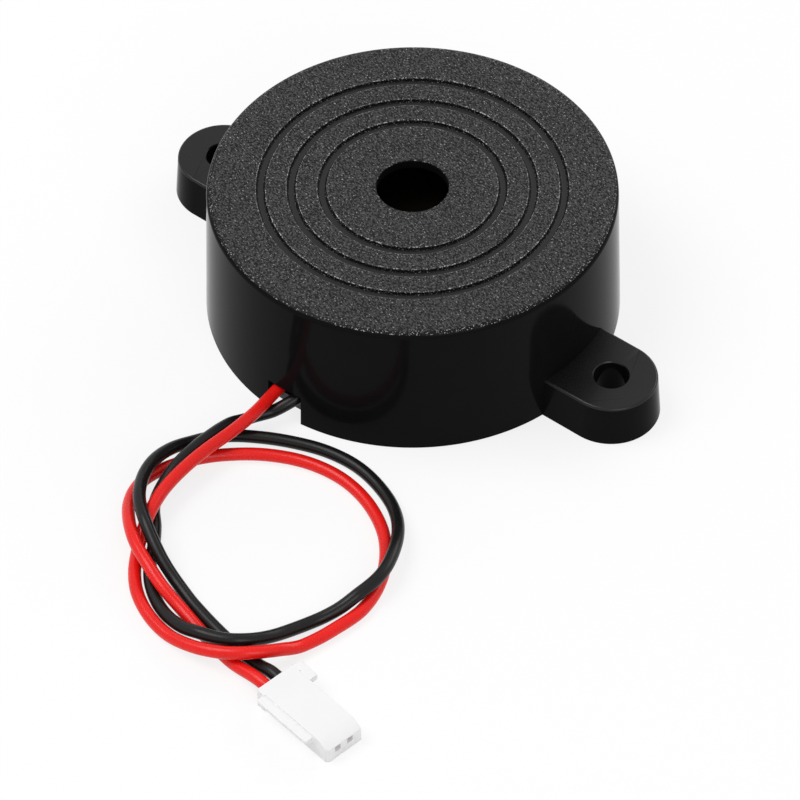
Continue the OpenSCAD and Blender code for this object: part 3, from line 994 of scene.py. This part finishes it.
    def surface(self, middle: Vector, normal: Vector) -> Surface:
        """Which finish a face has, from its place and normal in millimetres.

        Args:
            middle: the face's middle.
            normal: its normal.

        Returns:
            The finish.
        """
        r = math.hypot(middle.x, middle.y)
        if r > self.wall_r(middle.z) + 0.03 and middle.z < self.ear_h + 0.01:
            return Surface.EAR if normal.z > 0.2 else Surface.GLOSSY
        # Faces inside take the darker black with painted shade.
        if r < self.hole_r + 0.02 and middle.z < self.height - 0.06:
            return Surface.INSIDE
        deep = self.height - middle.z
        if self.hole_r + 1 < r < self.grooves[0] + self.groove_w and deep < self.groove_depth + 0.01:
            # Lips take the paler finish with a painted highlight; walls and foot fillets take the darker one
            # with painted shade.
            if deep < self.groove_edge and normal.z > 0.7:
                return Surface.GRAINED if normal.z > 0.97 else Surface.LIP
            return Surface.GROOVE if normal.z > 0.99 else Surface.GROOVE_WALL
        # Rounded top edges take the finish with painted shade and glints.
        if middle.z > self.grain_z:
            return Surface.GRAINED if normal.z > 0.97 else Surface.EDGE
        if r > self.seat_r + 0.05 and middle.z < self.grain_z:
            return Surface.GLOSSY
        return Surface.INSIDE

    def build(self) -> bpy.types.Object:
        """Turns the body, joins the ears and ribs, cuts holes and notch, and dresses it.

        Returns:
            The piece.
        """
        piece = Turning(self.corners()).make("housing_moulding", self.sides)
        for side in Side:
            Bench.cut(piece, self.ear(side), "UNION")
        for rib in self.ribs():
            Bench.cut(piece, rib, "UNION")
        for side in Side:
            Bench.cut(piece, self.screw_hole(side), "DIFFERENCE")
        left, right, high = self.notch
        slot = Bench.block("notch", (left, -self.base_r - 1, -1), (right, -self.ring_out, high))
        with Editing(slot) as edit:
            edit.pick(Pick.EDGES, lambda e: e.flat_at(high) and e.high.y - e.low.y > 1)
            edit.bevel(0.15, 3)
        Bench.cut(piece, slot, "DIFFERENCE")
        with Editing(piece) as edit:
            edit.everything()
            bpy.ops.mesh.remove_doubles(threshold=1e-6)
        Bench.smooth(piece, 32)
        finishes = (TOP_BLACK, SIDE_BLACK, EAR_BLACK, GROOVE_BLACK, INSIDE_PAINTED_SHADE, EDGE_PAINTED_LIGHT, LIP_PAINTED_HIGHLIGHT,
                    WALL_PAINTED_SHADE)
        piece.data.materials.clear()
        for finish in finishes:
            piece.data.materials.append(finish.material())
        for face in piece.data.polygons:
            face.material_index = self.surface(face.center / MM, face.normal).value
        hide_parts("housing")
        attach(piece, "root")
        return piece


@dataclass
class Plug:
    """The small nylon crimp housing on the leads' end. It stands for the CAD plug housing."""

    rear: tuple[float, float] = (22.3, -48.85)
    angle: float = -9
    length: float = 8.5
    width: float = 4.3
    height: float = 2.4
    collar_len: float = 1.0
    collar_out: float = 0.15
    nose_len: float = 1.2
    nose_h: float = 1.7
    rail_out: float = 0.95
    rail_len: float = 6.8
    rail_t: float = 0.7
    rail_drop: float = 0.15
    tab_len: float = 2.4
    tab_out: float = 1.05
    pitch: float = 1.5
    cavity: float = 1.36
    window: float = 0.7

    def point(self, port: Port, along: float) -> tuple[float, float, float]:
        """A place on the axis of one port.

        Args:
            port: which lead's port.
            along: distance from the plug's rear edge, into the plug.

        Returns:
            The place in millimetres.
        """
        turn = math.radians(self.angle)
        side = port.value * self.pitch / 2
        return (self.rear[0] + along * math.cos(turn) - side * math.sin(turn),
                self.rear[1] + along * math.sin(turn) + side * math.cos(turn), self.height / 2)

    def build(self) -> bpy.types.Object:
        """Joins body, collar, nose, rail and tab, cuts the cavities and rounds the edges.

        Returns:
            The piece.
        """
        half = self.width / 2
        rail_z = self.height - self.rail_drop - self.rail_t
        body = Bench.block("plug_moulding", (0, -half, 0), (self.length, half, self.height))
        nose_end = self.length + self.nose_len
        with Editing(body) as edit:
            edit.pick(Pick.FACES, lambda f: f.normal.x > 0.9)
            edit.extrude(x=self.nose_len)
            edit.pick(Pick.POINTS, lambda p: p.middle.x > self.length + 0.1 and p.middle.z > 1)
            bpy.ops.transform.translate(value=(0, 0, (self.nose_h - self.height) * MM))
            edit.pick(Pick.EDGES, lambda e: abs(e.middle.x - nose_end) < 0.01 and e.high.z - e.low.z > 1
                      and e.middle.y < 0)
            edit.bevel(0.45, 4)
        collar = Bench.block("collar", (0, -half - self.collar_out, 0),
                             (self.collar_len, half + self.collar_out, self.height))
        rail = Bench.block("rail", (self.collar_len - 0.15, -half - self.rail_out, rail_z),
                           (self.collar_len + self.rail_len, -half + 0.3, rail_z + self.rail_t))
        with Editing(rail) as edit:
            edit.pick(Pick.EDGES, lambda e: e.flat_at(rail_z) and e.middle.y < -half - 0.5)
            edit.bevel(0.35, 1)
            edit.pick(Pick.EDGES, lambda e: e.high.z - e.low.z > 0.2 and e.middle.y < -half - 0.5)
            edit.bevel(0.25, 3)
        tab = Bench.block("tab", (0, half - 0.3, rail_z),
                          (self.tab_len, half + self.tab_out, rail_z + self.rail_t))
        for part in (collar, rail, tab):
            Bench.cut(body, part, "UNION")
        for port in Port:
            y = port.value * self.pitch / 2
            z = self.height / 2
            hole = self.cavity / 2
            slit = self.window / 2
            tools = (Bench.block("cavity", (-1, y - hole, z - hole), (self.length, y + hole, z + hole)),
                     Bench.block("pin_way", (self.length - 0.5, y - slit, z - slit),
                                 (nose_end + 1, y + slit, z + slit)))
            for tool in tools:
                Bench.cut(body, tool, "DIFFERENCE")
        with Editing(body) as edit:
            edit.tidy()
        Bench.soften(body, 0.06, 3, 40)
        body.rotation_euler.z = math.radians(self.angle)
        body.location = (self.rear[0] * MM, self.rear[1] * MM, 0)
        Bench.settle(body)
        Bench.smooth(body, 35)
        body.data.materials.clear()
        body.data.materials.append(NYLON.material())
        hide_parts("plug_housing")
        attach(body, "root")
        return body


def laid(points: Iterable[tuple[float, float, float]], wall: float) -> list[tuple[float, float, float]]:
    """Lead points with y counted from the side wall, brought to the frame, in millimetres."""
    return [(x, y - wall, z) for x, y, z in points]


# The leads' points repeat the part's source: y is counted from the side wall, z from the floor.
RED_LAY: list[tuple[float, float, float]] = [
    (-0.9, 4.7, 2.9), (-0.8, 2, 2.9), (-0.7, -0.6, 2.8), (-0.6, -3.4, 2.7), (-0.9, -6.6, 2.5),
    (-1.3, -9.8, 2.5), (-1.5, -13, 2.4), (-1.4, -16, 2.2), (-0.8, -18.6, 2.1), (0, -20.9, 1.6),
    (1, -23, 0.9), (2.4, -25.1, 0.65), (4.4, -27, 0.65), (7, -28.4, 0.65), (9.9, -29.2, 0.8),
    (13, -29.3, 1.4), (15.8, -28.7, 2), (18.2, -27.2, 2.2), (20, -24.8, 1.7), (21.1, -22.2, 0.8),
    (22, -19, 0.65), (22.6, -15, 0.65), (21.5, -10.8, 0.65), (18.8, -7, 0.65), (15, -4.5, 0.65),
    (10.8, -3.4, 0.65), (6.6, -3.8, 0.65), (2.7, -5.5, 0.65), (-0.5, -8, 0.65), (-2.7, -10.6, 0.65),
    (-4.2, -13.5, 0.65), (-4.6, -16.2, 0.7), (-3.6, -18.8, 1.2), (-1.7, -21.1, 2), (0.7, -23.1, 2.5),
    (3.4, -24.5, 2.4), (6.2, -25.5, 1.8), (9.2, -26.1, 1), (12.8, -27, 0.65), (16.6, -27.9, 0.65),
]
BLACK_LAY: list[tuple[float, float, float]] = [
    (1.6, 4.7, 2.7), (1.5, 2, 2.6), (0.8, 0, 2.1), (-0.3, -1.6, 1.45), (-1.4, -3.4, 1.4),
    (-2.1, -5.6, 1.95), (-2.5, -8.6, 2.1), (-2.7, -12, 1.9), (-2.5, -14.8, 1.3), (-1.7, -17.4, 0.7),
    (0.2, -19.5, 0.65), (1.8, -21.6, 0.65), (3.3, -23.9, 0.65), (5.1, -25.7, 0.65), (7.5, -27.1, 0.7),
    (10.5, -27.9, 1.2), (13.4, -27.8, 2), (16.1, -26.7, 2.1), (17.8, -24.6, 1.6), (18.8, -22, 0.9),
    (19.9, -19.2, 0.65), (21, -16.9, 1.1), (21.8, -14.4, 1.9), (22, -11.6, 2.05), (21.1, -8.6, 1.9),
    (19.4, -5.7, 1.4), (17, -3.4, 0.8), (13.9, -1.9, 0.65), (10.5, -1.2, 0.65), (7, -1.5, 0.65),
    (3.7, -2.6, 0.65), (0.7, -4.1, 0.65), (-2, -6, 0.65), (-3.9, -8.4, 0.75), (-4.7, -11.2, 1.5),
    (-4.7, -13.9, 2.05), (-3.9, -16.4, 2.4), (-2.2, -18.9, 2.9), (-0.1, -20.7, 3.1), (2.2, -22.1, 2.6),
    (4.4, -23.1, 1.8), (6.9, -23.9, 1), (9.8, -24.8, 0.65), (13.2, -25.7, 0.65), (16.7, -26.4, 0.65),
    (19.2, -26.7, 0.75),
]


@dataclass
class Lead:
    """One insulated lead: a round tube on a smooth curve through its points."""

    name: str
    node: str
    port: Port
    lay: list[tuple[float, float, float]]
    finish: Insulation
    material_slot: str
    plug: Plug
    wall: float = 21
    diameter: float = 1.3
    straight: float = 1.2
    inside: float = 1.6

    def route(self) -> list[Vector]:
        """All points from the solder joint to the crimp, in millimetres."""
        points = laid(self.lay, self.wall)
        points += [self.plug.point(self.port, -self.straight), self.plug.point(self.port, self.inside)]
        return [Vector(p) for p in points]

    @staticmethod
    def slopes(points: Sequence[Vector]) -> list[Vector]:
        """The curve's direction at each point, level wherever the height turns.

        Args:
            points: the route.

        Returns:
            One vector a point, as long as the way to its neighbours.
        """
        out = []
        last = len(points) - 1
        for i, here in enumerate(points):
            before, after = points[max(i - 1, 0)], points[min(i + 1, last)]
            way = (after - before).normalized()
            rise_in, rise_out = here.z - before.z, after.z - here.z
            if rise_in * rise_out <= 0:
                way.z = 0
            else:
                flat = (after - before).length
                way.z = 2 * rise_in * rise_out / (rise_in + rise_out) / (flat / 2)
            out.append(way)
        return out

    def build(self) -> bpy.types.Object:
        """Returns:
            The piece.
        """
        points = self.route()
        ways = self.slopes(points)
        line = bpy.data.curves.new(self.name, "CURVE")
        line.dimensions = "3D"
        line.resolution_u = 10
        line.bevel_depth = self.diameter / 2 * MM
        line.bevel_resolution = 6
        line.use_fill_caps = True
        line.twist_mode = "MINIMUM"
        spline = line.splines.new("BEZIER")
        spline.bezier_points.add(len(points) - 1)
        for i, (knot, here, way) in enumerate(zip(spline.bezier_points, points, ways)):
            back = (here - points[i - 1]).length / 3 if i else 0.3
            on = (points[i + 1] - here).length / 3 if i + 1 < len(points) else 0.3
            knot.handle_left_type = knot.handle_right_type = "FREE"
            knot.co = here * MM
            knot.handle_left = (here - way * back) * MM
            knot.handle_right = (here + way * on) * MM
        piece = bpy.data.objects.new(self.name, line)
        bpy.context.scene.collection.objects.link(piece)
        line.materials.append(self.finish.material())
        length = spline.calc_length()
        LOG.info("%s is %.1f mm long", self.name, length / MM)
        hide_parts(self.node)
        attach(piece, "root")
        return piece


@dataclass
class InnerParts:
    """The CAD nodes that stay: each one gets its own finish."""

    finishes: dict[str, object] = field(default_factory=lambda: {
        "back_cover": COVER_BLACK,
        # The diaphragm is given a near-black brass and tarnish: painted shade for the deep sound hole it is seen
        # through.
        "diaphragm": Metal("brass_painted_shade", (0.02, 0.017, 0.012), 0.5, (1, 6, 1), (0.008, 0.0075, 0.006), 0.6),
        "ceramic_disc": Fired("fired_ceramic", (0.55, 0.5, 0.4)),
        "electrodes": Metal("fired_silver", (0.82, 0.82, 0.8), 0.42, (1, 1, 1), (0.55, 0.52, 0.45)),
        "adhesive_ring": Bonding("cured_adhesive", (0.7, 0.7, 0.66), 0.45),
        "circuit_board": Laminate("coated_laminate", (0.03, 0.14, 0.04)),
        "transistor": MouldedPlastic("moulding_compound", (0.018, 0.018, 0.019), 0.6, 0.4, 0.006),
        "transistor_legs": Metal("tinned_legs", (0.78, 0.77, 0.74), 0.3),
        "choke_core": Fired("sintered_ferrite", (0.06, 0.06, 0.065), 0.6),
        "choke_winding": Winding("enamelled_wire", (0.62, 0.2, 0.06)),
        "choke_pins": Metal("tinned_pins", (0.78, 0.77, 0.74), 0.32),
        "resistors": MouldedPlastic("resistor_lacquer", (0.62, 0.45, 0.24), 0.28, 0.5, 0.004, 0.03),
        "resistor_leads": Metal("tinned_resistor_leads", (0.78, 0.77, 0.74), 0.3),
        "diode": MouldedPlastic("diode_glass", (0.42, 0.09, 0.02), 0.08, 0.6, 0.001, 0.05),
        "diode_leads": Metal("tinned_diode_leads", (0.78, 0.77, 0.74), 0.3),
        "drive_wire": Insulation("drive_insulation", (0.75, 0.02, 0.015)),
        "feedback_wire": BLUE_PVC,
        "ground_wire": Insulation("ground_insulation", (0.014, 0.013, 0.013)),
        "disc_solder": Bonding("disc_solder", (0.72, 0.72, 0.72), 0.25, 1),
        "board_solder": Bonding("board_solder", (0.7, 0.7, 0.71), 0.22, 1),
        "plug_contacts": Metal("tinned_contacts", (0.75, 0.74, 0.7), 0.28, (1, 4, 4)),
    })

    def dress(self) -> None:
        """Gives each node its material."""
        for name, finish in self.finishes.items():
            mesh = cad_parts[name].data
            mesh.materials.clear()
            mesh.materials.append(finish.material())
            LOG.info("%s dressed", name)


@dataclass
class Studio:
    """Floor, light and camera. Distances are in metres, and turns in degrees."""

    azimuth: float = 39.0
    elevation: float = 47.217
    roll: float = -0.518
    place: tuple[float, float, float] = (0.218460, -0.272053, 0.361346)
    lens: float = 222.532
    floor_colour: float = 0.9
    floor_glow: float = 0.8
    sky: float = 0.45

    def camera(self) -> None:
        """Sets the camera to the photograph's angle."""
        a, e, roll = (math.radians(v) for v in (self.azimuth, self.elevation, self.roll))
        back = Vector((math.sin(a) * math.cos(e), -math.cos(a) * math.cos(e), math.sin(e)))
        right = Vector((math.cos(a), math.sin(a), 0))
        up = back.cross(right)
        across = right * math.cos(roll) + up * math.sin(roll)
        rising = up * math.cos(roll) - right * math.sin(roll)
        lens = bpy.data.cameras.new("camera")
        lens.lens = self.lens
        lens.sensor_width = 36
        lens.clip_start = 0.01
        lens.clip_end = 10
        camera = bpy.data.objects.new("camera", lens)
        camera.matrix_world = Matrix((across, rising, back)).transposed().to_4x4()
        camera.location = self.place
        bpy.context.scene.collection.objects.link(camera)
        bpy.context.scene.camera = camera

    @staticmethod
    def shown(tree: bpy.types.NodeTree) -> bpy.types.NodeSocket:
        """1 for what the camera sees, straight, in a reflection or through glass.

        Args:
            tree: the nodes of the floor or the world.

        Returns:
            The socket.
        """
        path = tree.nodes.new("ShaderNodeLightPath")
        first = tree.nodes.new("ShaderNodeMath")
        first.operation = "MAXIMUM"
        tree.links.new(path.outputs["Is Camera Ray"], first.inputs[0])
        tree.links.new(path.outputs["Is Glossy Ray"], first.inputs[1])
        second = tree.nodes.new("ShaderNodeMath")
        second.operation = "MAXIMUM"
        tree.links.new(first.outputs[0], second.inputs[0])
        tree.links.new(path.outputs["Is Transmission Ray"], second.inputs[1])
        return second.outputs[0]

    def floor(self) -> None:
        """Lays a plain pale floor that keeps the shadow."""
        Bench.clear()
        bpy.ops.mesh.primitive_plane_add(size=6, location=(0, 0, -0.00003))
        piece = Bench.named("floor")
        Bench.settle(piece)
        with Editing(piece) as edit:
            edit.everything()
            bpy.ops.mesh.subdivide(number_cuts=3)
        paint = bpy.data.materials.new("pale_floor")
        paint.use_nodes = True
        tree = paint.node_tree
        shader = next(n for n in tree.nodes if n.type == "BSDF_PRINCIPLED")
        output = next(n for n in tree.nodes if n.type == "OUTPUT_MATERIAL")
        shader.inputs["Base Color"].default_value = (self.floor_colour,) * 3 + (1,)
        shader.inputs["Roughness"].default_value = 0.9
        shader.inputs["Specular IOR Level"].default_value = 0.1
        glow = tree.nodes.new("ShaderNodeEmission")
        glow.inputs["Strength"].default_value = 1
        share = tree.nodes.new("ShaderNodeMath")
        share.operation = "MULTIPLY"
        share.inputs[1].default_value = self.floor_glow
        tree.links.new(self.shown(tree), share.inputs[0])
        mix = tree.nodes.new("ShaderNodeMixShader")
        tree.links.new(share.outputs[0], mix.inputs[0])
        tree.links.new(shader.outputs[0], mix.inputs[1])
        tree.links.new(glow.outputs[0], mix.inputs[2])
        tree.links.new(mix.outputs[0], output.inputs["Surface"])
        piece.data.materials.append(paint)

    def world(self) -> None:
        """A white surround that lights softly."""
        world = bpy.data.worlds.new("surround")
        world.use_nodes = True
        tree = world.node_tree
        sky = next(n for n in tree.nodes if n.type == "BACKGROUND")
        sky.inputs["Color"].default_value = (1, 1, 1, 1)
        level = tree.nodes.new("ShaderNodeMapRange")
        level.inputs["To Min"].default_value = self.sky
        level.inputs["To Max"].default_value = 1
        tree.links.new(self.shown(tree), level.inputs["Value"])
        tree.links.new(level.outputs[0], sky.inputs["Strength"])
        bpy.context.scene.world = world

    @staticmethod
    def lamp(name: str, place: Sequence[float], size: tuple[float, float], power: float) -> None:
        """Hangs a soft lamp that faces the object.

        Args:
            name: its name.
            place: where it hangs, in metres.
            size: its width and height in metres.
            power: its power in watts.
        """
        light = bpy.data.lights.new(name, "AREA")
        light.shape = "RECTANGLE"
        light.size, light.size_y = size
        light.energy = power
        lamp = bpy.data.objects.new(name, light)
        lamp.location = place
        aim = Vector((0, -0.01, 0.005)) - Vector(place)
        lamp.rotation_euler = aim.to_track_quat("-Z", "Y").to_euler()
        bpy.context.scene.collection.objects.link(lamp)

    def build(self) -> None:
        """Sets up floor, surround, lamps and picture settings."""
        self.floor()
        self.world()
        self.lamp("key", (-0.35, -0.25, 0.75), (0.5, 0.5), 3.9)
        self.lamp("fill", (0.6, -0.35, 0.5), (0.4, 0.4), 1.5)
        self.lamp("back", (0.1, 0.7, 0.45), (0.7, 0.3), 1.8)
        scene = bpy.context.scene
        scene.view_settings.view_transform = "Standard"


def main() -> None:
    """Builds the buzzer piece by piece and reports each."""
    logging.basicConfig(level=logging.INFO, format="%(name)s: %(message)s")
    studio = Studio()
    studio.camera()
    plug = Plug()
    plug_piece = plug.build()
    LOG.info("%s has %d faces", plug_piece.name, len(plug_piece.data.polygons))
    leads = (
        Lead("red_lead_tube", "red_lead", Port.RED, RED_LAY, RED_PVC, "red_wire", plug),
        Lead("black_lead_tube", "black_lead", Port.BLACK, BLACK_LAY, BLACK_PVC, "black_wire", plug),
    )
    for lead in leads:
        lead.build()
    housing = Housing().build()
    LOG.info("%s has %d faces", housing.name, len(housing.data.polygons))
    InnerParts().dress()
    studio.build()
    LOG.info("size written")


if __name__ == "__main__":
    main()
